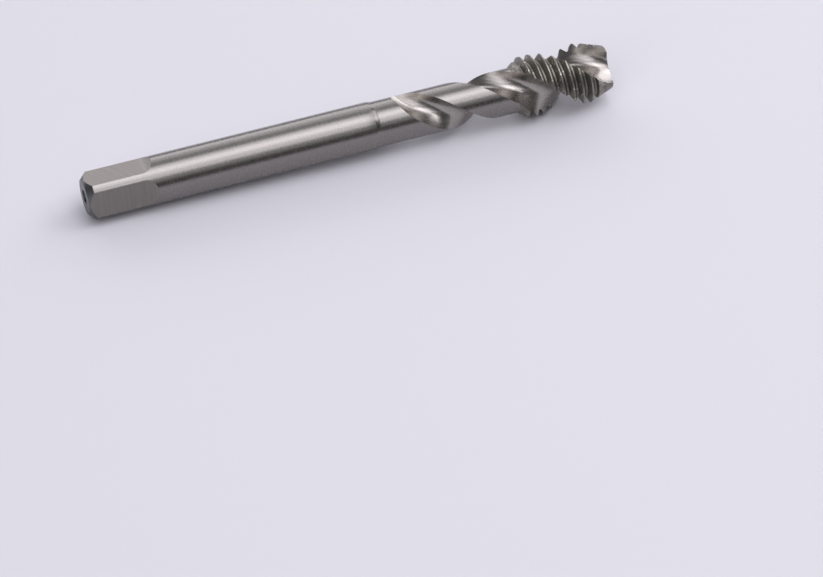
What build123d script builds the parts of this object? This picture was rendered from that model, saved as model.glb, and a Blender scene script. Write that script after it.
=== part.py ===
from build123d import *

import os
from math import ceil, cos, radians, sin, sqrt, tan

# A spiral-flute machine tap for an M8 coarse thread: one bar of ground tool steel.
# +X runs along its axis towards the cutting tip, and the flats of the drive square face Y and Z.
# The origin is the centre of the square's end face. Lengths are in mm and angles in degrees.

# Turned bar
overall_length = 70.0
shank_diameter = 6.2
shank_end = 38.0            # where the full shank gives way to the neck
shank_step_length = 0.6     # short cone between shank and neck
neck_diameter = 5.9
shoulder_start = 57.2       # cone from the neck up to the thread
shoulder_angle = 36.0
back_chamfer_angle = 43.0   # cone behind the square's end face
back_face_diameter = 4.6

# Drive square
across_flats = 5.0
square_length = 7.5
square_cutter_radius = 2.2  # leaves the curved run-out where each flat meets the shank

# Thread, ISO metric coarse
thread_diameter = 8.0
thread_pitch = 1.25
thread_depth = 0.6134 * thread_pitch
crest_flat = thread_pitch / 8
flank_angle = 30.0
first_groove_x = 55.86      # axial place of the groove's first root at the +Z side
lead_length = 3.3           # tapered lead over the first teeth
tip_diameter = 5.7

# Flutes: right-hand spiral, ground from the tip back into the neck
flute_count = 2
flute_lead = 24.0           # axial length of one full turn
flute_core_diameter = 2.4   # web left between the flutes
flute_nose_radius = 2.0
cutting_face_angle = 42.0   # both flanks are measured from the flute's own centreline
heel_face_angle = 74.0
flute_start = 43.6          # full depth from here to the tip
flute_clocking = -2.8       # direction of the first flute's centreline, carried back to the origin
run_out_radius = 2.5        # the grinding wheel lifts out on this arc
run_out_sections = 6

# Centre holes, one in each end, that carried the bar while it was ground
centre_pilot_diameter = 1.0
centre_mouth_diameter = 2.0
centre_hole_depth = 1.9
centre_angle = 60.0

shank_radius = shank_diameter / 2
neck_radius = neck_diameter / 2
thread_radius = thread_diameter / 2
back_chamfer_length = (shank_diameter - back_face_diameter) / 2 / tan(radians(back_chamfer_angle))
shoulder_length = (thread_radius - neck_radius) / tan(radians(shoulder_angle))
thread_turns = ceil((overall_length - first_groove_x) / thread_pitch)
clearance = 1.0             # how far cutters reach past the bar
groove_reach = 0.1


def flute_section(x, flute, lift=0.0):
    """One flute's section across the axis at x: two flanks joined by the nose arc, open outwards.

    Its x direction is the flute's own centreline, which turns with the spiral.
    """
    direction = radians(flute_clocking + 360 * (x / flute_lead + flute / flute_count))
    across_axis = Plane(origin=(x, 0, 0), x_dir=(0, cos(direction), sin(direction)), z_dir=(1, 0, 0))
    nose_centre = flute_core_diameter / 2 + flute_nose_radius + lift
    flanks = []
    for side, face_angle in ((1, heel_face_angle), (-1, cutting_face_angle)):
        slope = radians(face_angle)
        foot = Vector(nose_centre - flute_nose_radius * sin(slope), side * flute_nose_radius * cos(slope))
        flanks.append((foot, foot + Vector(cos(slope), side * sin(slope)) * (thread_radius + clearance)))
    (heel_foot, heel_end), (cutting_foot, cutting_end) = flanks
    with BuildSketch(across_axis) as section:
        with BuildLine():
            Line(heel_end, heel_foot)
            ThreePointArc(heel_foot, (nose_centre - flute_nose_radius, 0), cutting_foot)
            Line(cutting_foot, cutting_end)
            Line(cutting_end, heel_end)
        make_face()
    return section.sketch


# One turn of the thread groove, as a cutter that reaches a little past the crests
with BuildPart() as groove_turn:
    crest_level = thread_radius + groove_reach
    root_level = thread_radius - thread_depth
    crest_half = (thread_pitch - crest_flat) / 2 + groove_reach * tan(radians(flank_angle))
    root_half = (thread_pitch - crest_flat) / 2 - thread_depth * tan(radians(flank_angle))
    with BuildSketch(Plane.XZ):
        with BuildLine():
            Polyline(
                (first_groove_x - crest_half, crest_level),
                (first_groove_x - root_half, root_level),
                (first_groove_x + root_half, root_level),
                (first_groove_x + crest_half, crest_level),
                close=True,
            )
        make_face()
    with BuildLine() as groove_path:
        Helix(
            pitch=thread_pitch,
            height=thread_pitch,
            radius=thread_radius,
            center=(first_groove_x, 0, 0),
            direction=(1, 0, 0),
        )
    sweep(path=groove_path.line, is_frenet=True)

with BuildPart() as thread_tap:
    # Turned bar, from the square's end face to the tip
    with BuildSketch(Plane.XY):
        with BuildLine():
            Polyline(
                (0, 0),
                (0, back_face_diameter / 2),
                (back_chamfer_length, shank_radius),
                (shank_end, shank_radius),
                (shank_end + shank_step_length, neck_radius),
                (shoulder_start, neck_radius),
                (shoulder_start + shoulder_length, thread_radius),
                (overall_length - lead_length, thread_radius),
                (overall_length, tip_diameter / 2),
                (overall_length, 0),
                close=True,
            )
        make_face()
    revolve(axis=Axis.X)

    # Drive square: one cut for each flat, ending in the cutter's own radius
    for flat_angle in (0, 90, 180, 270):
        with BuildSketch(Plane.XY.rotated((flat_angle, 0, 0))):
            with BuildLine():
                run_out_end = (square_length + square_cutter_radius, across_flats / 2 + square_cutter_radius)
                run_out_start = Line((-clearance, across_flats / 2), (square_length, across_flats / 2)) @ 1
                RadiusArc(run_out_start, run_out_end, -square_cutter_radius)
                Line(run_out_end, (-clearance, run_out_end[1]))
                Line((-clearance, run_out_end[1]), (-clearance, across_flats / 2))
            make_face()
        extrude(amount=shank_radius + clearance, both=True, mode=Mode.SUBTRACT)

    # Thread: the V groove, wound right-hand from behind the shoulder to past the tip
    for turn in range(thread_turns):
        add(groove_turn.part.moved(Location((turn * thread_pitch, 0, 0))), mode=Mode.SUBTRACT)

    for flute in range(flute_count):
        # Run-out: the section rises on the wheel's arc until it has left the neck
        rise = neck_radius - flute_core_diameter / 2 + 0.1
        run_out_length = sqrt(run_out_radius**2 - (run_out_radius - rise) ** 2)
        sections = []
        for step in range(run_out_sections + 1):
            back = run_out_length * step / run_out_sections
            lift = run_out_radius - sqrt(run_out_radius**2 - back**2)
            sections.append(flute_section(flute_start - back, flute, lift))
        loft(sections, mode=Mode.SUBTRACT)

        # Full depth, wound from there to past the tip
        with BuildLine() as flute_path:
            Helix(
                pitch=flute_lead,
                height=overall_length + clearance - flute_start,
                radius=thread_radius,
                center=(flute_start, 0, 0),
                direction=(1, 0, 0),
            )
        sweep(flute_section(flute_start, flute), path=flute_path.line, is_frenet=True, mode=Mode.SUBTRACT)

    for end in (
        Plane(origin=(0, 0, 0), z_dir=(-1, 0, 0)),
        Plane(origin=(overall_length, 0, 0), z_dir=(1, 0, 0)),
    ):
        with Locations(end):
            CounterSinkHole(
                radius=centre_pilot_diameter / 2,
                counter_sink_radius=centre_mouth_diameter / 2,
                depth=centre_hole_depth,
                counter_sink_angle=centre_angle,
            )

thread_tap.part.label = "thread_tap"
os.makedirs("parts", exist_ok=True)
export_step(thread_tap.part, "parts/thread_tap.step")
print("solids", len(thread_tap.solids()), "volume", round(thread_tap.part.volume), "valid", thread_tap.part.is_valid)
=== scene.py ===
"""A spiral-flute machine tap of bright ground tool steel, lying on a pale studio floor."""

from math import cos, pi, radians, sin, sqrt, tan

import bpy
from mathutils import Matrix, Vector


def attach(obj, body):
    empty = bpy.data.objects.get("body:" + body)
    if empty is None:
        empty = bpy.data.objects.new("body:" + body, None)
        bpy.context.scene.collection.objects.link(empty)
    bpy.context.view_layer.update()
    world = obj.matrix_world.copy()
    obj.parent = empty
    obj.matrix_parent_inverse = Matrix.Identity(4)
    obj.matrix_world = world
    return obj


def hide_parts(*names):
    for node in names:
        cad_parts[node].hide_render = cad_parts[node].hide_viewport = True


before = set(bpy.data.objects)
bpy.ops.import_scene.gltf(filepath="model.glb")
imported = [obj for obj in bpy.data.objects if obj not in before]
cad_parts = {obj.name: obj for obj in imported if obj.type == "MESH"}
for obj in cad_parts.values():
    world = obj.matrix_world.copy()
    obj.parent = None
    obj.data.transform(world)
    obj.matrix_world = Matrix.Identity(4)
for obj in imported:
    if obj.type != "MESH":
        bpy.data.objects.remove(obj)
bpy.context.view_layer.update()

MM = 0.001

# ---------------------------------------------------------------- sizes, in mm and degrees

THREAD_PITCH = 1.25

SIZES = {
    "Overall length": 70.0,
    "Shank diameter": 6.2,
    "Shank end": 38.0,
    "Shank step length": 0.6,
    "Neck diameter": 5.9,
    "Shoulder start": 57.2,
    "Shoulder angle": 36.0,
    "Back chamfer angle": 43.0,
    "Back face diameter": 4.6,
    "Across flats": 5.0,
    "Square length": 7.5,
    "Square cutter radius": 2.2,
    "Thread diameter": 8.0,
    "Thread pitch": THREAD_PITCH,
    "Thread depth": 0.6134 * THREAD_PITCH,
    "Crest flat": THREAD_PITCH / 8,
    "Flank angle": 30.0,
    "First groove": 55.86,
    "Lead length": 3.3,
    "Tip diameter": 5.7,
    "Flute lead": 24.0,
    "Flute core diameter": 2.4,
    "Flute nose radius": 2.0,
    "Cutting face angle": 42.0,
    "Heel face angle": 74.0,
    "Flute start": 43.6,
    "Flute clocking": -2.8,
    "Run-out radius": 2.5,
    "Centre pilot diameter": 1.0,
    "Centre mouth diameter": 2.0,
    "Centre hole depth": 1.9,
    "Centre angle": 60.0,
}

# How the columns of the skin are shared out. One flute and its land take FLUTE_COLUMNS, one flat and
# its corner take SQUARE_COLUMNS, and both layouts close round the bar with the same total.
NOSE_COLUMNS = 7            # each side of the flute's bottom
HEEL_COLUMNS = 8
LAND_COLUMNS = 40
CUTTING_COLUMNS = 6
FLUTE_COLUMNS = 2 * NOSE_COLUMNS + HEEL_COLUMNS + LAND_COLUMNS + CUTTING_COLUMNS
FLUTES = 2
RING_COLUMNS = FLUTES * FLUTE_COLUMNS
SQUARE_COLUMNS = RING_COLUMNS // 4
FLAT_COLUMNS = 14
CORNER_COLUMNS = (SQUARE_COLUMNS - FLAT_COLUMNS) // 2
CLOSED_SPREAD = 8.0         # half the angle that a flute's columns keep where there is no flute yet
FLAT_SPREAD = 6.0           # the same for a flat's columns, past its run-out
COUNT_MARGIN = 1e-4         # keeps a whole count from falling to the number below it

# Finishes, by the number that the skin carries on each face
GROUND, MILLED, POLISHED, THREAD, END, CENTRE = range(6)


# ---------------------------------------------------------------- formulas as nodes


class Formula:
    """A number in a node tree. Arithmetic on it adds nodes, so that a shape reads as its own formula."""

    def __init__(self, tree, socket):
        self.tree = tree
        self.socket = socket

    def math(self, operation, *others):
        node = self.tree.nodes.new("ShaderNodeMath")
        node.operation = operation
        for socket, value in zip(node.inputs, (self, *others)):
            feed(self.tree, socket, value)
        return Formula(self.tree, node.outputs[0])

    def __add__(self, other):
        return self.math("ADD", other)

    def __sub__(self, other):
        return self.math("SUBTRACT", other)

    def __mul__(self, other):
        return self.math("MULTIPLY", other)

    def __truediv__(self, other):
        return self.math("DIVIDE", other)

    __radd__ = __add__
    __rmul__ = __mul__

    def __rsub__(self, other):
        return number(self.tree, other) - self

    def __rtruediv__(self, other):
        return number(self.tree, other) / self

    def __neg__(self):
        return self * -1.0


def feed(tree, socket, value):
    """Links a formula to a socket, or sets a plain number on it."""
    if isinstance(value, Formula):
        tree.links.new(value.socket, socket)
    else:
        socket.default_value = value


def number(tree, value):
    if isinstance(value, Formula):
        return value
    node = tree.nodes.new("ShaderNodeValue")
    node.outputs[0].default_value = value
    return Formula(tree, node.outputs[0])


def least(a, b):
    return a.math("MINIMUM", b)


def most(a, b):
    return a.math("MAXIMUM", b)


def ramp(value, start, end):
    """0 up to start, 1 from end on, and straight between them."""
    node = value.tree.nodes.new("ShaderNodeMapRange")
    node.clamp = True
    feed(value.tree, node.inputs["Value"], value)
    feed(value.tree, node.inputs["From Min"], start)
    feed(value.tree, node.inputs["From Max"], end)
    return Formula(value.tree, node.outputs["Result"])


def between(a, b, share):
    return a + (b - a) * share


def sine(angle):
    return angle.math("RADIANS").math("SINE")


def cosine(angle):
    return angle.math("RADIANS").math("COSINE")


def tangent(angle):
    return angle.math("RADIANS").math("TANGENT")


def arc_cosine(value):
    return least(most(value, -1.0), 1.0).math("ARCCOSINE").math("DEGREES")


def root(value):
    return most(value, 0.0).math("SQRT")


def polar_angle(up, along):
    return up.math("ARCTAN2", along).math("DEGREES")


# ---------------------------------------------------------------- the bar's rules


class Sizes:
    """A tree's named inputs, read as formulas."""

    def __init__(self, tree):
        self.tree = tree
        self.entry = tree.nodes.new("NodeGroupInput")

    def __getitem__(self, name):
        return Formula(self.tree, self.entry.outputs[name])


def rule(name, sizes, values, results):
    """Keeps a function of formulas as one node group, and places the group wherever it is called."""

    def keep(function):
        tree = bpy.data.node_groups.new(name, "GeometryNodeTree")
        for label in (*sizes, *values):
            tree.interface.new_socket(label, in_out="INPUT", socket_type="NodeSocketFloat")
        for label in results:
            tree.interface.new_socket(label, in_out="OUTPUT", socket_type="NodeSocketFloat")
        inner = Sizes(tree)
        answers = function(inner, *(inner[label] for label in values))
        leave = tree.nodes.new("NodeGroupOutput")
        for label, answer in zip(results, answers):
            feed(tree, leave.inputs[label], answer)

        def place(size, *given):
            node = size.tree.nodes.new("GeometryNodeGroup")
            node.node_tree = tree
            for label, value in zip((*sizes, *values), (*map(size.__getitem__, sizes), *given)):
                feed(size.tree, node.inputs[label], value)
            return [Formula(size.tree, node.outputs[label]) for label in results]

        return place

    return keep


@rule(
    "Shank and neck radius",
    (
        "Back face diameter",
        "Back chamfer angle",
        "Shank diameter",
        "Neck diameter",
        "Shank end",
        "Shank step length",
    ),
    ("X",),
    ("Radius",),
)
def shank_or_neck_radius(size, x):
    """The turned bar up to the shoulder: back chamfer, shank, step and neck."""
    back = size["Back face diameter"] / 2 + x * tangent(size["Back chamfer angle"])
    stepped = ramp(x, size["Shank end"], size["Shank end"] + size["Shank step length"])
    turned = between(size["Shank diameter"] / 2, size["Neck diameter"] / 2, stepped)
    return (least(back, turned),)


@rule(
    "Head radius",
    (
        "Neck diameter",
        "Thread diameter",
        "Shoulder start",
        "Shoulder angle",
        "Tip diameter",
        "Lead length",
        "Overall length",
    ),
    ("X",),
    ("Radius",),
)
def head_radius(size, x):
    """The turned bar from the shoulder on: shoulder cone, thread crests and tapered lead."""
    neck = size["Neck diameter"] / 2
    crest = size["Thread diameter"] / 2
    shoulder = neck + (x - size["Shoulder start"]) * tangent(size["Shoulder angle"])
    lead_slope = (crest - size["Tip diameter"] / 2) / size["Lead length"]
    lead = crest - (x - (size["Overall length"] - size["Lead length"])) * lead_slope
    return (least(least(most(shoulder, neck), lead), crest),)


@rule("Flat level", ("Square length", "Square cutter radius", "Across flats"), ("X",), ("Level",))
def flat_level(size, x):
    """How far a flat lies from the axis: level along the square, then up the cutter's radius."""
    cutter = size["Square cutter radius"]
    past = ramp(x, size["Square length"], size["Square length"] + cutter)
    return (size["Across flats"] / 2 + cutter * (1.0 - root(1.0 - past * past)),)


@rule("Flat run-out", ("Shank diameter", "Square cutter radius", "Across flats"), (), ("Length",))
def flat_run_out(size):
    """How far a flat reaches past the square before it leaves the shank."""
    cutter = size["Square cutter radius"]
    rise = (size["Shank diameter"] - size["Across flats"]) / 2
    return (root(cutter * cutter - (cutter - rise) * (cutter - rise)),)


@rule("Flute turn", ("Flute clocking", "Flute lead"), ("X",), ("Angle",))
def flute_turn(size, x):
    """The direction of the first flute's centreline at x, counted on through every turn."""
    return (size["Flute clocking"] + x * 360.0 / size["Flute lead"],)


@rule(
    "Flute side",
    ("Flute nose radius",),
    ("Edge radius", "Nose centre", "Face angle", "On arc", "On face"),
    ("Angle", "Radius"),
)
def flute_side(size, edge_radius, nose_centre, face_angle, on_arc, on_face):
    """A point on one side of a flute's section, as its angle from the centreline and its radius.

    On arc runs from the flute's bottom round the nose, and On face from there up to the edge.
    """
    nose = size["Flute nose radius"]
    reach = nose_centre * nose_centre + nose * nose
    edge = edge_radius * edge_radius
    arc_end = least(90.0 - face_angle, arc_cosine((reach - edge) / (nose_centre * nose * 2.0)))
    lean = nose_centre * cosine(face_angle)
    foot = reach - nose_centre * nose * sine(face_angle) * 2.0
    face_length = most(root(lean * lean - foot + edge) - lean, 0.0)
    arc = arc_end * on_arc
    climbed = face_length * on_face
    along = nose_centre - nose * cosine(arc) + climbed * cosine(face_angle)
    up = nose * sine(arc) + climbed * sine(face_angle)
    return polar_angle(up, along), root(along * along + up * up)


COLUMN_PLACES = (
    "Row",
    "Flute",
    "Heel half",
    "Heel arc",
    "Heel face",
    "Cutting arc",
    "Cutting face",
    "Land",
    "Heel side",
    "Cutting side",
    "Quarter",
    "First corner",
    "Across flat",
    "Last corner",
)


@rule("Column places", (), (), COLUMN_PLACES)
def column_places(size):
    """Where each column of the skin lies round the bar, in the flutes' layout and in the square's."""
    index = Formula(size.tree, size.tree.nodes.new("GeometryNodeInputIndex").outputs[0])
    row = (index / (RING_COLUMNS + 1.0) + COUNT_MARGIN).math("FLOOR")
    column = index - row * (RING_COLUMNS + 1.0)
    flute = (column / FLUTE_COLUMNS + COUNT_MARGIN).math("FLOOR")
    step = column - flute * FLUTE_COLUMNS
    back = FLUTE_COLUMNS - step
    heel_edge = NOSE_COLUMNS + HEEL_COLUMNS
    cutting_edge = NOSE_COLUMNS + CUTTING_COLUMNS
    quarter = (column / SQUARE_COLUMNS + COUNT_MARGIN).math("FLOOR")
    turn = column - quarter * SQUARE_COLUMNS
    return (
        row,
        flute,
        step.math("LESS_THAN", FLUTE_COLUMNS / 2),
        ramp(step, 0.0, NOSE_COLUMNS),
        ramp(step, NOSE_COLUMNS, heel_edge),
        ramp(back, 0.0, NOSE_COLUMNS),
        ramp(back, NOSE_COLUMNS, cutting_edge),
        ramp(step, heel_edge, heel_edge + LAND_COLUMNS),
        ramp(step, 0.0, heel_edge),
        ramp(back, 0.0, cutting_edge),
        quarter,
        ramp(turn, 0.0, CORNER_COLUMNS),
        ramp(turn, CORNER_COLUMNS, CORNER_COLUMNS + FLAT_COLUMNS),
        ramp(turn, CORNER_COLUMNS + FLAT_COLUMNS, SQUARE_COLUMNS),
    )


RING_PLACES = ("Heel arc", "Heel face", "Cutting arc", "Cutting face", "Land", "Flute")


@rule(
    "Fluted ring",
    ("Flute core diameter", "Flute nose radius", "Heel face angle", "Cutting face angle"),
    ("Edge radius", "Lift", *RING_PLACES),
    ("Angle", "Radius"),
)
def fluted_ring_rule(
    size, edge_radius, lift, heel_arc, heel_face, cutting_arc, cutting_face, land, flute
):
    """A point on the ring of flutes and lands: its angle from the first centreline, and its radius."""
    nose_centre = size["Flute core diameter"] / 2 + size["Flute nose radius"] + lift
    heel_angle, heel_radius = flute_side(
        size, edge_radius, nose_centre, size["Heel face angle"], heel_arc, heel_face
    )
    cutting_angle, cutting_radius = flute_side(
        size, edge_radius, nose_centre, size["Cutting face angle"], cutting_arc, cutting_face
    )
    angle = between(heel_angle, 360.0 / FLUTES - cutting_angle, land) + flute * (360.0 / FLUTES)
    return angle, between(heel_radius, cutting_radius, land)


def fluted_ring(size, columns, edge_radius, lift=0.0):
    """The same, with the columns' places filled in."""
    return fluted_ring_rule(size, edge_radius, lift, *(columns[place] for place in RING_PLACES))


def closed_ring(columns):
    """The ring's angle where the bar has no flute yet: its columns stay close to the centreline."""
    heel = columns["Heel side"] * CLOSED_SPREAD
    cutting = 360.0 / FLUTES - columns["Cutting side"] * CLOSED_SPREAD
    return between(heel, cutting, columns["Land"]) + columns["Flute"] * (360.0 / FLUTES)


@rule(
    "Run-out",
    ("Neck diameter", "Flute core diameter", "Run-out radius", "Flute start"),
    (),
    ("Wheel turn", "Start"),
)
def run_out(size):
    """The angle on the wheel at which a flute leaves the neck, and where along the bar that is."""
    rise = (size["Neck diameter"] - size["Flute core diameter"]) / 2
    turn = arc_cosine(1.0 - rise / size["Run-out radius"])
    return turn, size["Flute start"] - size["Run-out radius"] * sine(turn)


@rule(
    "Square angle",
    (),
    ("Level", "Radius", "First corner", "Across flat", "Last corner"),
    ("Angle",),
)
def square_angle(size, level, radius, first_corner, across_flat, last_corner):
    """The angle round from one corner of the square, with a flat's columns kept on the flat."""
    half = most(arc_cosine(level / radius), FLAT_SPREAD)
    return ((45.0 - half) * (first_corner + last_corner) + half * 2.0 * across_flat,)


# ---------------------------------------------------------------- the skin, zone by zone


class Skin:
    """Builds the tree that makes the whole tap as one closed skin."""

    def __init__(self, name):
        self.tree = bpy.data.node_groups.new(name, "GeometryNodeTree")
        sockets = self.tree.interface
        for label, value in SIZES.items():
            socket = sockets.new_socket(label, in_out="INPUT", socket_type="NodeSocketFloat")
            socket.default_value = value
        for finish in FINISHES:
            sockets.new_socket(finish, in_out="INPUT", socket_type="NodeSocketMaterial")
        sockets.new_socket("Geometry", in_out="OUTPUT", socket_type="NodeSocketGeometry")
        self.size = Sizes(self.tree)
        self.zones = []

    def node(self, kind, **settings):
        node = self.tree.nodes.new(kind)
        for name, value in settings.items():
            setattr(node, name, value)
        return node

    def grid(self, rows):
        """A flat sheet of rows by columns, with its columns' places."""
        node = self.node("GeometryNodeMeshGrid")
        node.inputs["Vertices X"].default_value = rows + 1
        node.inputs["Vertices Y"].default_value = RING_COLUMNS + 1
        return node.outputs["Mesh"], dict(zip(COLUMN_PLACES, column_places(self.size)))

    def face_place(self):
        """Row and column of a face in its sheet."""
        index = Formula(self.tree, self.node("GeometryNodeInputIndex").outputs[0])
        row = ((index + 0.5) / RING_COLUMNS).math("FLOOR")
        return row, index - row * RING_COLUMNS

    def store(self, mesh, name, value, domain="POINT", kind="FLOAT"):
        node = self.node("GeometryNodeStoreNamedAttribute", data_type=kind, domain=domain)
        self.tree.links.new(mesh, node.inputs["Geometry"])
        node.inputs["Name"].default_value = name
        feed(self.tree, node.inputs["Value"], value)
        return node.outputs["Geometry"]

    def place(self, mesh, x, angle, radius, finish, across=0.0, height=1.0, turned_over=False):
        """Bends a sheet to its place on the bar and writes what its finishes read."""
        mesh = self.store(mesh, "finish", finish, "FACE", "INT")
        mesh = self.store(mesh, "across_flute", across)
        mesh = self.store(mesh, "tooth_height", height)
        position = self.node("ShaderNodeCombineXYZ")
        feed(self.tree, position.inputs[0], x * MM)
        feed(self.tree, position.inputs[1], radius * cosine(angle) * MM)
        feed(self.tree, position.inputs[2], radius * sine(angle) * MM)
        move = self.node("GeometryNodeSetPosition")
        self.tree.links.new(mesh, move.inputs["Geometry"])
        self.tree.links.new(position.outputs[0], move.inputs["Position"])
        mesh = move.outputs["Geometry"]
        if not turned_over:
            flip = self.node("GeometryNodeFlipFaces")
            self.tree.links.new(mesh, flip.inputs["Mesh"])
            mesh = flip.outputs["Mesh"]
        self.zones.append(mesh)

    def flute_face(self):
        """1 on a sheet's faces inside a flute, 0 on its lands."""
        _, column = self.face_place()
        step = column.math("MODULO", float(FLUTE_COLUMNS))
        inside = step.math("LESS_THAN", NOSE_COLUMNS + HEEL_COLUMNS - 0.5)
        beyond = step.math("GREATER_THAN", NOSE_COLUMNS + HEEL_COLUMNS + LAND_COLUMNS - 0.5)
        return most(inside, beyond)

    def across_flute(self, columns):
        """Where a point lies across its flute: 0 at the bottom, 1 at the heel, -1 at the cutting edge."""
        return between(columns["Cutting side"] * -1.0, columns["Heel side"], columns["Heel half"])

    def round_from_corner(self, columns, level, radius):
        """The angle from the last corner of the square, and the same counted on from the first one."""
        places = (columns[place] for place in ("First corner", "Across flat", "Last corner"))
        (turn,) = square_angle(self.size, level, radius, *places)
        (first_flute,) = flute_turn(self.size, run_out(self.size)[1])
        first = ((first_flute - 45.0) / 90.0 + 0.5).math("FLOOR") * 90.0 + 45.0
        return turn, first + columns["Quarter"] * 90.0 + turn

    def shank_with_square(self, outer_row=0.09):
        """Back chamfer, drive square, shank, step and plain neck.

        The outer row is the strip of chamfer next to the end face, which no flat reaches.
        """
        size = self.size
        (flat_reach,) = flat_run_out(size)
        _, flute_start = run_out(size)
        flat_end = size["Square length"] + flat_reach
        chamfer_depth = (size["Shank diameter"] - size["Back face diameter"]) / 2
        even, at_start, at_end = range(3)
        # each stretch's rows, where it ends, and where its rows lie closer together
        stretches = (
            (1, number(self.tree, outer_row), even),
            (14, chamfer_depth / tangent(size["Back chamfer angle"]), at_start),
            (5, size["Square length"], even),
            (30, flat_end, at_end),
            (16, size["Shank end"], even),
            (2, size["Shank end"] + size["Shank step length"], even),
            (8, flute_start, even),
        )
        rows = [stretch[0] for stretch in stretches]
        chamfer_rows, flat_rows = sum(rows[:2]), sum(rows[:4])
        mesh, columns = self.grid(sum(rows))
        x = start = number(self.tree, 0.0)
        row = 0
        for count, end, crowd in stretches:
            share = ramp(columns["Row"], row, row + count)
            if crowd == at_start:
                share = share * share
            elif crowd == at_end:
                share = 1.0 - (1.0 - share) * (1.0 - share)
            x = x + (end - start) * share
            start, row = end, row + count
        (radius,) = shank_or_neck_radius(size, x)
        (level,) = flat_level(size, x)
        turn, square = self.round_from_corner(columns, level, radius)
        radius = least(radius, level / cosine(turn - 45.0))
        flutes = flute_turn(size, flute_start)[0] + closed_ring(columns)
        turned = ramp(x, flat_end, flute_start)
        turned = turned * turned * (3.0 - turned * 2.0)  # eased in and out
        face_row, face_column = self.face_place()
        quarter_step = face_column.math("MODULO", float(SQUARE_COLUMNS))
        on_flat = quarter_step.math("COMPARE", SQUARE_COLUMNS / 2 - 0.5, FLAT_COLUMNS / 2)
        on_square = least(face_row.math("GREATER_THAN", 0.5), face_row.math("LESS_THAN", flat_rows - 0.5))
        milled = least(on_flat, on_square)
        chamfered = face_row.math("LESS_THAN", chamfer_rows - 0.5) * (1.0 - milled)
        finish = GROUND + milled * (MILLED - GROUND) + chamfered * (END - GROUND)
        self.place(mesh, x, between(square, flutes, turned), radius, finish)

    def fluted_neck(self, run_out_rows=22, spiral_rows=56):
        """The flutes from where the wheel enters the neck up to the shoulder."""
        size = self.size
        mesh, columns = self.grid(run_out_rows + spiral_rows)
        wheel_turn, _ = run_out(size)
        wheel = wheel_turn * (1.0 - ramp(columns["Row"], 0.0, run_out_rows))
        along = ramp(columns["Row"], run_out_rows, run_out_rows + spiral_rows)
        spiral = size["Shoulder start"] - size["Flute start"]
        x = size["Flute start"] - size["Run-out radius"] * sine(wheel) + spiral * along
        neck = size["Neck diameter"] / 2
        angle, radius = fluted_ring(size, columns, neck, size["Run-out radius"] * (1.0 - cosine(wheel)))
        entered = columns["Row"].math("GREATER_THAN", 0.5)
        angle = between(closed_ring(columns), angle, entered)
        radius = between(neck, radius, entered)
        finish = GROUND + self.flute_face() * (POLISHED - GROUND)
        self.place(mesh, x, flute_turn(size, x)[0] + angle, radius, finish, self.across_flute(columns))

    def threaded_head(self, first_turn=-3, turns=13, flank_rows=5, crest_rows=2, first_tooth=0.05):
        """Lands with the thread in them and the flutes between, in rows that follow the thread's helix.

        The finish starts to read teeth where they stand as high as the first tooth.
        """
        size = self.size
        pitch = size["Thread pitch"]
        crest = size["Thread diameter"] / 2
        groove_root = crest - size["Thread depth"]
        flank = tangent(size["Flank angle"])
        half_root = (pitch - size["Crest flat"]) / 2 - size["Thread depth"] * flank
        turn_rows = 2 + 2 * flank_rows + crest_rows
        mesh, columns = self.grid(turns * turn_rows)
        turn = (columns["Row"] / turn_rows + COUNT_MARGIN).math("FLOOR")
        step = columns["Row"] - turn * turn_rows
        rising = ramp(step, 1.0, 1.0 + flank_rows)
        over_crest = ramp(step, 1.0 + flank_rows, 1.0 + flank_rows + crest_rows)
        falling = ramp(step, 1.0 + flank_rows + crest_rows, turn_rows - 1.0)
        in_root = ramp(step, 0.0, 1.0) + ramp(step, turn_rows - 1.0, float(turn_rows))
        share_up = rising - falling
        groove_start = size["First groove"] + pitch * (turn + first_turn) + half_root * in_root
        winding = 1.0 - pitch / size["Flute lead"]

        def tooth_height(blank):
            return most(blank - groove_root, 0.0)

        def along_axis(angle, height):
            """x of a row at this angle from the flute's centreline, where the teeth stand this high."""
            reach = height * flank
            past_root = reach * (rising + falling) + (pitch - half_root * 2.0 - reach * 2.0) * over_crest
            wound = pitch * ((angle + size["Flute clocking"] - 90.0) / 360.0)
            return (groove_start + past_root + wound) / winding

        def settle(angle, height, times):
            """The row follows the crest where the shoulder and the lead cut the teeth short."""
            for _ in range(times):
                height = tooth_height(head_radius(size, along_axis(angle, height))[0])
            return along_axis(angle, height)

        def ring_at(x):
            (blank,) = head_radius(size, x)
            return fluted_ring(size, columns, least(groove_root + tooth_height(blank) * share_up, blank))

        angle, _ = fluted_ring(size, columns, crest)
        x = settle(angle, size["Thread depth"], times=4)
        angle, _ = ring_at(x)
        x = settle(angle, tooth_height(head_radius(size, x)[0]), times=2)
        x = least(most(x, size["Shoulder start"]), size["Overall length"])
        angle, radius = ring_at(x)
        finish = THREAD + self.flute_face() * (POLISHED - THREAD)
        threaded = ramp(head_radius(size, x)[0], groove_root, groove_root + first_tooth)
        height = share_up * threaded
        angle = flute_turn(size, x)[0] + angle
        self.place(mesh, x, angle, radius, finish, self.across_flute(columns), height)

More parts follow.
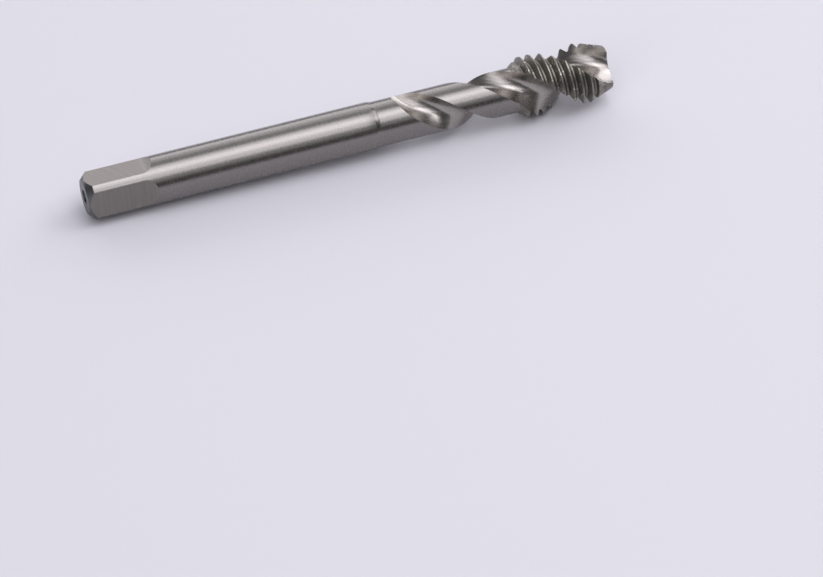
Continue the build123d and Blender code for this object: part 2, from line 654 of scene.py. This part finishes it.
    def end_face(self, x, inward, edge, face_rows=3):
        """A flat end and the centre hole in it, from the outline to the bottom of the pilot."""
        size = self.size
        mesh, columns = self.grid(face_rows + 3)
        angle, outline = edge(columns)
        mouth, pilot = size["Centre mouth diameter"] / 2, size["Centre pilot diameter"] / 2
        cone = (mouth - pilot) / tangent(size["Centre angle"] / 2)
        row = columns["Row"]
        on_face = ramp(row, 0.0, face_rows)
        down_cone = ramp(row, face_rows, face_rows + 1.0)
        down_pilot = ramp(row, face_rows + 1.0, face_rows + 2.0)
        over_bottom = ramp(row, face_rows + 2.0, face_rows + 3.0)
        radius = between(outline, mouth, on_face) - (mouth - pilot) * down_cone - pilot * over_bottom
        depth = cone * down_cone + (size["Centre hole depth"] - cone) * down_pilot
        face_row, _ = self.face_place()
        finish = END + face_row.math("GREATER_THAN", face_rows - 0.5) * (CENTRE - END)
        self.place(mesh, x + depth * inward, angle, radius, finish, turned_over=inward > 0)

    def ends(self):
        """The square's end face and the tip's."""
        size = self.size
        back, tip = size["Back face diameter"] / 2, size["Overall length"]

        def back_edge(columns):
            _, angle = self.round_from_corner(columns, size["Across flats"] / 2, back)
            return angle, back

        def tip_edge(columns):
            angle, radius = fluted_ring(size, columns, size["Tip diameter"] / 2)
            return flute_turn(size, tip)[0] + angle, radius

        self.end_face(number(self.tree, 0.0), 1.0, back_edge)
        self.end_face(tip, -1.0, tip_edge)

    def close(self, sharp_angle=16.0, weld=5e-7):
        """Joins the zones, welds their edges, marks the sharp ones and gives each finish its material."""
        links = self.tree.links
        join = self.node("GeometryNodeJoinGeometry")
        for zone in reversed(self.zones):
            links.new(zone, join.inputs[0])
        merge = self.node("GeometryNodeMergeByDistance")
        merge.inputs["Distance"].default_value = weld
        links.new(join.outputs[0], merge.inputs["Geometry"])
        smooth = self.node("GeometryNodeSetShadeSmooth", domain="FACE")
        links.new(merge.outputs["Geometry"], smooth.inputs["Geometry"])
        between_faces = self.node("GeometryNodeInputMeshEdgeAngle").outputs["Unsigned Angle"]
        edge_angle = Formula(self.tree, between_faces)
        sharp = self.node("GeometryNodeSetShadeSmooth", domain="EDGE")
        sharp.inputs["Shade Smooth"].default_value = False
        feed(self.tree, sharp.inputs["Selection"], edge_angle.math("GREATER_THAN", radians(sharp_angle)))
        links.new(smooth.outputs["Geometry"], sharp.inputs["Geometry"])
        realize = self.node("GeometryNodeRealizeInstances")
        links.new(sharp.outputs["Geometry"], realize.inputs["Geometry"])
        geometry = realize.outputs["Geometry"]
        named = self.node("GeometryNodeInputNamedAttribute", data_type="INT")
        named.inputs["Name"].default_value = "finish"
        finish = Formula(self.tree, named.outputs["Attribute"])
        for code, label in enumerate(FINISHES):
            wear = self.node("GeometryNodeSetMaterial")
            links.new(geometry, wear.inputs["Geometry"])
            if code != GROUND:  # the ground steel goes on first and everywhere
                feed(self.tree, wear.inputs["Selection"], finish.math("COMPARE", float(code), 0.5))
            links.new(self.size.entry.outputs[label], wear.inputs["Material"])
            geometry = wear.outputs["Geometry"]
        leave = self.node("NodeGroupOutput")
        links.new(geometry, leave.inputs[0])


# ---------------------------------------------------------------- finishes


def shader_rule(name, values, results, colours=()):
    """Keeps a pattern that finishes share as one shader node group with named inputs and outputs."""

    def keep(function):
        tree = bpy.data.node_groups.new(name, "ShaderNodeTree")
        for label, default in values.items():
            kind = "NodeSocketVector" if default is None else "NodeSocketFloat"
            socket = tree.interface.new_socket(label, in_out="INPUT", socket_type=kind)
            if default is not None:
                socket.default_value = default
        for label in results:
            kind = "NodeSocketColor" if label in colours else "NodeSocketFloat"
            tree.interface.new_socket(label, in_out="OUTPUT", socket_type=kind)
        entry = tree.nodes.new("NodeGroupInput")
        answers = function(tree, *(Formula(tree, entry.outputs[label]) for label in values))
        leave = tree.nodes.new("NodeGroupOutput")
        for label, answer in zip(results, answers):
            feed(tree, leave.inputs[label], answer)

        def place(finish_tree, *given):
            node = finish_tree.nodes.new("ShaderNodeGroup")
            node.node_tree = tree
            for label, value in zip(values, given):
                feed(finish_tree, node.inputs[label], value)
            return [Formula(finish_tree, node.outputs[label]) for label in results]

        return place

    return keep


def split(tree, vector):
    node = tree.nodes.new("ShaderNodeSeparateXYZ")
    feed(tree, node.inputs[0], vector)
    return [Formula(tree, node.outputs[n]) for n in range(3)]


def combine(tree, x, y, z):
    node = tree.nodes.new("ShaderNodeCombineXYZ")
    for socket, value in zip(node.inputs, (x, y, z)):
        feed(tree, socket, value)
    return Formula(tree, node.outputs[0])


def noise(tree, vector, scale=1.0, detail=2.0, roughness=0.55):
    """Soft noise, 0 to 1 with 0.5 as its middle."""
    node = tree.nodes.new("ShaderNodeTexNoise")
    feed(tree, node.inputs["Vector"], vector)
    feed(tree, node.inputs["Scale"], scale)
    feed(tree, node.inputs["Detail"], detail)
    node.inputs["Roughness"].default_value = roughness
    return Formula(tree, node.outputs["Fac"])


def in_millimetres(tree):
    """The piece's own coordinates, in mm."""
    x, y, z = split(tree, Formula(tree, tree.nodes.new("ShaderNodeTexCoord").outputs["Object"]))
    return x / MM, y / MM, z / MM


def stored(tree, name):
    """A value that the skin carries."""
    node = tree.nodes.new("ShaderNodeAttribute")
    node.attribute_name = name
    return Formula(tree, node.outputs["Fac"])


@shader_rule(
    "Grinding lines",
    {"Across": 0.0, "Along": 0.0, "Side": 0.0, "Lines per mm": 4.0, "Run": 0.15},
    ("Tone", "Height"),
)
def grinding_lines(tree, across, along, side, density, run):
    """Lines left by a wheel or a cutter: they change quickly across themselves and slowly along."""
    coarse = noise(tree, combine(tree, across * density, along * run, side * run), roughness=0.6)
    density, run = density * 3.3, run * 1.7
    fine = noise(tree, combine(tree, across * density, along * run, side * run), detail=1.0)
    height = coarse * 0.6 + fine * 0.4
    tone = (height - 0.5) * 2.6
    return tone, height


@shader_rule("Mottling", {"Vector": None, "Lumps per mm": 2.0, "Detail": 3.0}, ("Tone",))
def mottling(tree, vector, density, detail):
    """Soft lumps of lighter and darker metal, with 0 as their middle."""
    return (noise(tree, vector, density, detail) - 0.5,)


@shader_rule("Specks", {"Vector": None, "Per mm": 2.0, "Size": 0.12}, ("Mask",))
def specks(tree, vector, density, size):
    """Tiny scattered nicks."""
    node = tree.nodes.new("ShaderNodeTexVoronoi")
    feed(tree, node.inputs["Vector"], vector)
    feed(tree, node.inputs["Scale"], density)
    near = 1.0 - ramp(Formula(tree, node.outputs["Distance"]), size * 0.5, size)
    chosen = noise(tree, vector, detail=1.0).math("GREATER_THAN", 0.56)
    return (near * chosen,)


@shader_rule(
    "Shaded metal",
    {"Red": 0.5, "Green": 0.5, "Blue": 0.5, "Shade": 1.0},
    ("Colour",),
    colours=("Colour",),
)
def shaded_metal(tree, red, green, blue, shade):
    """A metal's own colour, lighter or darker by the finish's shade, which on the thread also holds
    painted shade, painted highlight and painted glints.
    """
    return (combine(tree, red * shade, green * shade, blue * shade),)


def finish_material(name, colour, write):
    """A bare metal finish. write gives its shade, its roughness and the height of its marks in mm."""
    material = bpy.data.materials.new(name)
    material.use_nodes = True
    tree = material.node_tree
    shader = tree.nodes["Principled BSDF"]
    shader.inputs["Metallic"].default_value = 1.0
    shade, roughness, height = write(tree)
    feed(tree, shader.inputs["Base Color"], shaded_metal(tree, *colour, shade)[0])
    feed(tree, shader.inputs["Roughness"], roughness)
    bump = tree.nodes.new("ShaderNodeBump")
    bump.inputs["Strength"].default_value = 1.0
    bump.inputs["Distance"].default_value = MM
    feed(tree, bump.inputs["Height"], height)
    tree.links.new(bump.outputs["Normal"], shader.inputs["Normal"])
    return material


# In each finish below, tone, mottle and the specks say how strong a mark is, the numbers they are
# multiplied by say how far it shows, and the last value returned is the marks' height in mm.


def cylindrical_grinding(tree, lines_per_mm=5.0, lumps_per_mm=2.2, nicks_per_mm=1.3, nick_size=0.08):
    """Ground between centres: fine lines round the bar, a little mottling and a few nicks."""
    x, y, z = in_millimetres(tree)
    place = combine(tree, x, y, z)
    tone, line = grinding_lines(tree, x, y, z, lines_per_mm, 0.12)
    (mottle,) = mottling(tree, place, lumps_per_mm, 4.0)
    (nick,) = specks(tree, place, nicks_per_mm, nick_size)
    shade = 1.0 + tone * 0.08 + mottle * 0.16 - nick * 0.10
    roughness = 0.26 + tone * 0.05 + mottle * 0.14 + nick * 0.06
    return shade, roughness, line * 0.0006


def milling(tree, lines_per_mm=4.2, slant=0.55, lumps_per_mm=1.3):
    """Straight cutter lines across each flat, slanted on the two that face up and down."""
    x, y, z = in_millimetres(tree)
    tone, line = grinding_lines(tree, x + y * slant, y, z, lines_per_mm, 0.10)
    (mottle,) = mottling(tree, combine(tree, x, y, z), lumps_per_mm, 3.0)
    shade = 1.0 + tone * 0.20 + mottle * 0.12
    roughness = 0.42 + tone * 0.06 + mottle * 0.06
    return shade, roughness, line * 0.004


def flute_polish(tree, flute_half_width=2.2, lines_per_mm=4.0, waves_per_mm=0.8):
    """Streaks that run along the flute, and the slight waviness of polished metal."""
    x, y, z = in_millimetres(tree)
    across = stored(tree, "across_flute") * flute_half_width
    tone, line = grinding_lines(tree, across, x, y, lines_per_mm, 0.18)
    (wave,) = mottling(tree, combine(tree, x, y, z), waves_per_mm, 2.0)
    shade = 1.0 + tone * 0.07 + wave * 0.12
    roughness = 0.27 + tone * 0.05 + wave * 0.12
    return shade, roughness, line * 0.0015 + wave * 0.012


def thread_cutting(tree, grains_per_mm=6.0, nicks_per_mm=3.0, glinting_tears_per_mm=2.4, wear_and_highlight_per_mm=1.4):
    """Painted shade that darkens the grooves, crests made brighter by wear and a painted highlight, dark
    nicks, and torn specks whose brightness is a painted glint.
    """
    x, y, z = in_millimetres(tree)
    place = combine(tree, x, y, z)
    elsewhere = combine(tree, x + 3.0, y, z)  # so that the tears don't follow the nicks
    height = stored(tree, "tooth_height")
    (grain,) = mottling(tree, place, grains_per_mm, 3.0)
    (nick,) = specks(tree, place, nicks_per_mm, 0.2)
    # torn specks: real tears in the bump, and a painted glint in the colour
    (torn_glints,) = specks(tree, elsewhere, glinting_tears_per_mm, 0.36)
    # patches of wear that add random tone and also decide where the crests get their painted highlight
    wear_and_highlight = ramp(mottling(tree, place, wear_and_highlight_per_mm, 2.0)[0], -0.12, 0.12)
    crest = ramp(height, 0.93, 1.0) * wear_and_highlight
    # tooth height adds painted shade in the grooves, the crests add a painted highlight that is partly
    # wear, and the torn specks add a painted glint
    shade = 0.78 + height * 0.06 + crest * 0.40 + wear_and_highlight * 0.10 + grain * 1.0 + torn_glints * 1.6 - nick * 0.3
    roughness = 0.44 - crest * 0.08 + grain * 0.3
    return shade, roughness, grain * 0.02 + torn_glints * 0.02


def end_turning(tree, rings_per_mm=5.0, lumps_per_mm=1.5):
    """Rings round the axis on the flat ends and their chamfers."""
    x, y, z = in_millimetres(tree)
    from_axis = root(y * y + z * z)
    tone, line = grinding_lines(tree, from_axis, x, y, rings_per_mm, 0.15)
    (mottle,) = mottling(tree, combine(tree, x, y, z), lumps_per_mm, 3.0)
    shade = 1.0 + tone * 0.15 + mottle * 0.25
    roughness = 0.40 + tone * 0.06
    return shade, roughness, line * 0.003


def centre_drilling(tree, rings_per_mm=8.0):
    """Rings down the cone and the pilot."""
    x, y, z = in_millimetres(tree)
    tone, line = grinding_lines(tree, x, y, z, rings_per_mm, 0.3)
    shade = 1.0 + tone * 0.2
    roughness = 0.35 + tone * 0.05
    return shade, roughness, line * 0.002


FINISHES = {
    "Ground shank": finish_material("ground_shank_steel", (0.247, 0.233, 0.222), cylindrical_grinding),
    "Milled flats": finish_material("milled_flat_steel", (0.243, 0.226, 0.212), milling),
    "Polished flutes": finish_material("polished_flute_steel", (0.38, 0.357, 0.332), flute_polish),
    "Thread": finish_material("cut_thread_steel", (0.24, 0.228, 0.200), thread_cutting),
    "End faces": finish_material("end_face_steel", (0.15, 0.154, 0.158), end_turning),
    # the centre holes' near-black colour is painted shade in the recess
    "Centre holes": finish_material("centre_hole_painted_shade_steel", (0.06, 0.06, 0.063), centre_drilling),
}


def tap_piece():
    """Lets the tree make the tap and keeps the result as a plain mesh that stands for the CAD solid."""
    skin = Skin("spiral_flute_tap")
    skin.shank_with_square()
    skin.fluted_neck()
    skin.threaded_head()
    skin.ends()
    skin.close()
    seed = bpy.data.meshes.new("tap_seed")
    maker = bpy.data.objects.new("tap_maker", seed)
    bpy.context.scene.collection.objects.link(maker)
    modifier = maker.modifiers.new("tap", "NODES")
    modifier.node_group = skin.tree
    for item in skin.tree.interface.items_tree:
        if item.item_type == "SOCKET" and item.in_out == "INPUT":
            modifier[item.identifier] = FINISHES[item.name] if item.name in FINISHES else SIZES[item.name]
    evaluated = maker.evaluated_get(bpy.context.evaluated_depsgraph_get())
    mesh = bpy.data.meshes.new_from_object(evaluated)
    mesh.name = "spiral_flute_tap"
    mesh.materials.pop(index=0)  # the empty slot that Set Material leaves first
    maker.modifiers.remove(modifier)
    bpy.data.objects.remove(maker)
    bpy.data.meshes.remove(seed)
    tap = bpy.data.objects.new("spiral_flute_tap", mesh)
    bpy.context.scene.collection.objects.link(tap)
    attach(tap, "root")
    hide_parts("thread_tap")


tap_piece()

# ---------------------------------------------------------------- studio, in metres and degrees

TAP_MIDDLE = Vector((SIZES["Overall length"] / 2 * MM, 0.0, 0.0))
ALONG_TAP = Vector((1.0, 0.0, 0.0))

VIEW_AZIMUTH = -14.7
VIEW_ELEVATION = 34.1
VIEW_ROLL = 6.085
CAMERA_DISTANCE = 0.6
CAMERA_SENSOR = 36.0        # mm
CAMERA_LENS = 205.83        # mm
CAMERA_TO_RIGHT = 0.00805   # moves the tap to the left and up in the frame
CAMERA_DOWN = 0.02005
CAMERA_CLIP = 0.01

FLOOR_REACH = 4.0
FLOOR_ROLL = 8.0            # about the tap's axis: the square's flats don't lie level
FLOOR_COLOUR = (0.65, 0.644, 0.68, 1.0)
FLOOR_ROUGHNESS = 0.9
FLOOR_GLOSS = 0.1           # 0.5 would be a plain painted board

LAMP_COLOUR = (1.0, 0.985, 1.045)
SOFTBOX_DISTANCE = 0.8
SKY_COLOUR = (0.96, 0.97, 1.0, 1.0)
SKY_BRIGHTNESS = 0.11

# The softboxes stand round the tap in three arches that run from its front over to its back: one on the
# square's side, one a little towards the tip and one far out on the tip's side. Each stands at a share
# of X and a height, in degrees up from the front. It is wide along X and tall across it, in view angles,
# and has a brightness.
SOFTBOXES = {
    "left_low_softbox": (-0.80, 18.0, 30.0, 30.0, 1.45),
    "left_softbox": (-0.50, 45.0, 30.0, 36.0, 1.4),
    "left_top_softbox": (-0.25, 70.0, 26.0, 44.0, 1.0),
    "left_back_softbox": (-0.42, 149.0, 46.0, 32.0, 1.5),
    "front_low_softbox": (0.20, 28.0, 24.0, 24.0, 0.5),
    "key_low_softbox": (0.20, 48.0, 24.0, 22.0, 2.1),
    "key_softbox": (0.20, 69.0, 24.0, 20.0, 3.35),
    "key_top_softbox": (0.20, 86.0, 24.0, 14.0, 2.1),
    "top_softbox": (0.20, 105.0, 24.0, 24.0, 0.45),
    "back_top_softbox": (0.20, 125.0, 30.0, 14.0, 1.1),
    "back_softbox": (0.22, 147.0, 44.0, 26.0, 1.7),
    "right_softbox": (0.62, 82.0, 22.0, 50.0, 1.9),
    "right_back_softbox": (0.84, 108.0, 24.0, 70.0, 2.4),
}


def turned_by(*axes):
    """The matrix of an object whose X, Y and Z point along these axes."""
    return Matrix(axes).transposed().to_4x4()


def studio_camera():
    azimuth, elevation, roll = (radians(angle) for angle in (VIEW_AZIMUTH, VIEW_ELEVATION, VIEW_ROLL))
    level = cos(elevation)
    back = Vector((sin(azimuth) * level, -cos(azimuth) * level, sin(elevation)))
    right = Vector((cos(azimuth), sin(azimuth), 0.0))
    up = back.cross(right)
    rolled_right = right * cos(roll) - up * sin(roll)
    rolled_up = up * cos(roll) + right * sin(roll)
    data = bpy.data.cameras.new("studio_camera")
    data.sensor_width = CAMERA_SENSOR
    data.lens = CAMERA_LENS
    data.clip_start = CAMERA_CLIP
    camera = bpy.data.objects.new("studio_camera", data)
    bpy.context.scene.collection.objects.link(camera)
    place = TAP_MIDDLE + back * CAMERA_DISTANCE + rolled_right * CAMERA_TO_RIGHT - rolled_up * CAMERA_DOWN
    camera.matrix_world = Matrix.Translation(place) @ turned_by(rolled_right, rolled_up, back)
    bpy.context.scene.camera = camera


def resting_floor():
    """The corners of a floor that touches the shank's end and the thread's first crest."""
    shank, crest = SIZES["Shank diameter"] / 2 * MM, SIZES["Thread diameter"] / 2 * MM
    back_face, neck = SIZES["Back face diameter"] / 2 * MM, SIZES["Neck diameter"] / 2 * MM
    shank_end = (shank - back_face) / tan(radians(SIZES["Back chamfer angle"]))
    first_crest = SIZES["Shoulder start"] * MM + (crest - neck) / tan(radians(SIZES["Shoulder angle"]))
    slope = (crest - shank) / (first_crest - shank_end)
    roll = radians(FLOOR_ROLL)
    corners = []
    for x, y in ((-1, -1), (1, -1), (1, 1), (-1, 1)):
        x, y = x * FLOOR_REACH, y * FLOOR_REACH
        z = -shank - slope * (x - shank_end)
        corners.append((x, y * cos(roll) - z * sin(roll), y * sin(roll) + z * cos(roll)))
    return corners


def studio_floor():
    mesh = bpy.data.meshes.new("studio_floor")
    mesh.from_pydata(resting_floor(), [], [(0, 1, 2, 3)])
    floor = bpy.data.objects.new("studio_floor", mesh)
    bpy.context.scene.collection.objects.link(floor)
    material = bpy.data.materials.new("pale_floor")
    material.use_nodes = True
    shader = material.node_tree.nodes["Principled BSDF"]
    shader.inputs["Base Color"].default_value = FLOOR_COLOUR
    shader.inputs["Roughness"].default_value = FLOOR_ROUGHNESS
    shader.inputs["Specular IOR Level"].default_value = FLOOR_GLOSS
    mesh.materials.append(material)


def softbox(name, direction, angles, brightness):
    """A soft lamp aimed at the tap's middle, as wide along the tap and as tall as the two view angles."""
    data = bpy.data.lights.new(name, "AREA")
    data.shape = "RECTANGLE"
    data.size, data.size_y = (2 * SOFTBOX_DISTANCE * tan(radians(angle) / 2) for angle in angles)
    data.energy = brightness * pi * data.size * data.size_y
    data.color = LAMP_COLOUR
    lamp = bpy.data.objects.new(name, data)
    bpy.context.scene.collection.objects.link(lamp)
    side = (ALONG_TAP - direction * ALONG_TAP.dot(direction)).normalized()
    lamp.matrix_world = turned_by(side, direction.cross(side), direction)
    lamp.location = TAP_MIDDLE + direction * SOFTBOX_DISTANCE


def studio_light():
    for name, (share, height, *angles, brightness) in SOFTBOXES.items():
        level = sqrt(1.0 - share * share)
        direction = Vector((share, -level * cos(radians(height)), level * sin(radians(height))))
        softbox(name, direction, angles, brightness)
    world = bpy.data.worlds.new("studio")
    world.use_nodes = True
    background = world.node_tree.nodes["Background"]
    background.inputs["Color"].default_value = SKY_COLOUR
    background.inputs["Strength"].default_value = SKY_BRIGHTNESS
    bpy.context.scene.world = world


studio_camera()
studio_floor()
studio_light()
bpy.context.scene.view_settings.view_transform = "Standard"
